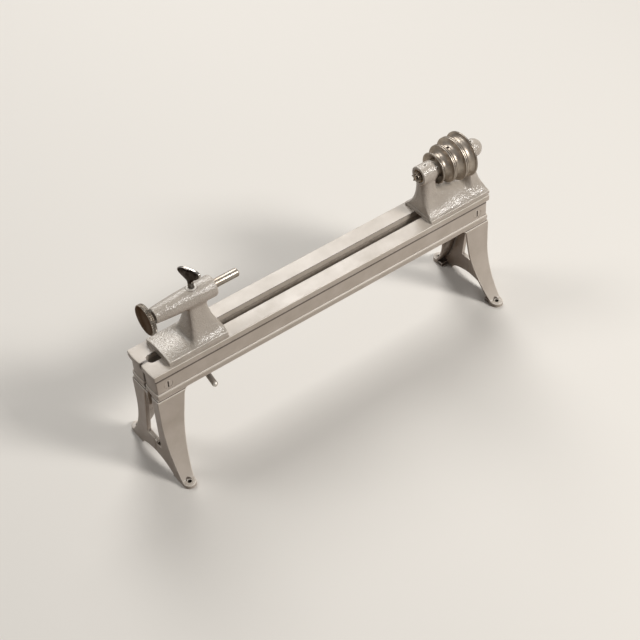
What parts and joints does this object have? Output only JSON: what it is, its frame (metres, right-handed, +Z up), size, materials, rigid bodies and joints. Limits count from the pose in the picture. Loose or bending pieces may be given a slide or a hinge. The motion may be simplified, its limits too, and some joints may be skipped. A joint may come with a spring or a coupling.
{
  "type": "bench lathe",
  "caption": "Small wood-turning bench lathe with a slotted rail bed on splayed legs, a stepped cone pulley headstock and a sliding tailstock with a screw-fed quill.",
  "frame": {"origin": "on the bench surface, in the middle of the rectangle of the four foot screw holes", "axes": "+X along the bed towards the headstock, -Y towards the turner, +Z up from the bench"},
  "size_m": [0.4628, 0.1212, 0.2429],
  "materials": {
    "bed_paint": "satin silver-grey paint on cast iron",
    "stock_paint": "thick glossy silver-grey paint over a rough sand casting",
    "bright_steel": "turned and polished",
    "plated_steel": "worn nickel plating",
    "pulley_steel": "turned steel with a brownish patina",
    "dull_steel": "oiled dark steel",
    "raw_iron": "plain cast iron",
    "bronze": "oiled bronze"
  },
  "bodies": {
    "bed": {"front_bed_half": "bed_paint", "rear_bed_half": "bed_paint", "bed_end_screws": "bed_paint", "stretcher_screws": "dull_steel", "headstock_casting": "stock_paint", "inner_bearing_bush": "bronze", "outer_bearing_bush": "bronze", "thrust_button": "dull_steel", "headstock_stud": "dull_steel", "headstock_clamp_plate": "raw_iron", "headstock_nut": "dull_steel"},
    "spindle": {"spindle": "bright_steel", "cone_pulley": "pulley_steel", "pulley_set_screw": "dull_steel", "spur_centre": "bright_steel"},
    "tailstock": {"tailstock_casting": "stock_paint", "quill_key": "dull_steel", "tailstock_stud": "dull_steel", "tailstock_clamp_plate": "raw_iron"},
    "quill": {"quill": "bright_steel"},
    "handwheel": {"feed_screw": "dull_steel", "handwheel": "bright_steel", "handwheel_pin": "dull_steel"},
    "thumb_screw": {"thumb_screw": "plated_steel"},
    "clamp_lever": {"clamp_nut": "dull_steel", "clamp_lever": "bright_steel"}
  },
  "joints": [
    {"name": "spindle_spin", "type": "hinge", "parent": "bed", "child": "spindle", "pos_m": [0.19, 0, 0.2017], "axis": [1, 0, 0], "continuous": true},
    {"name": "tailstock_slide", "type": "slide", "parent": "bed", "child": "tailstock", "axis": [1, 0, 0], "range_m": [-0.005, 0.22]},
    {"name": "handwheel_turn", "type": "hinge", "parent": "tailstock", "child": "handwheel", "pos_m": [-0.21, 0, 0.2017], "axis": [1, 0, 0], "range_deg": [-4980, 1810]},
    {"name": "quill_feed", "type": "slide", "parent": "tailstock", "child": "quill", "axis": [1, 0, 0], "range_m": [-0.022, 0.008]},
    {"name": "thumb_screw_turn", "type": "hinge", "parent": "tailstock", "child": "thumb_screw", "pos_m": [-0.1558, 0, 0.21], "axis": [0, 0, 1], "range_deg": [0, 180]},
    {"name": "clamp_lever_turn", "type": "hinge", "parent": "tailstock", "child": "clamp_lever", "pos_m": [-0.1575, 0, 0.1], "axis": [0, 0, 1], "range_deg": [-60, 0]}
  ],
  "couplings": [
    {"joint": "quill_feed", "follows": "handwheel_turn", "m_per_rad": 0.00025266}
  ]
}
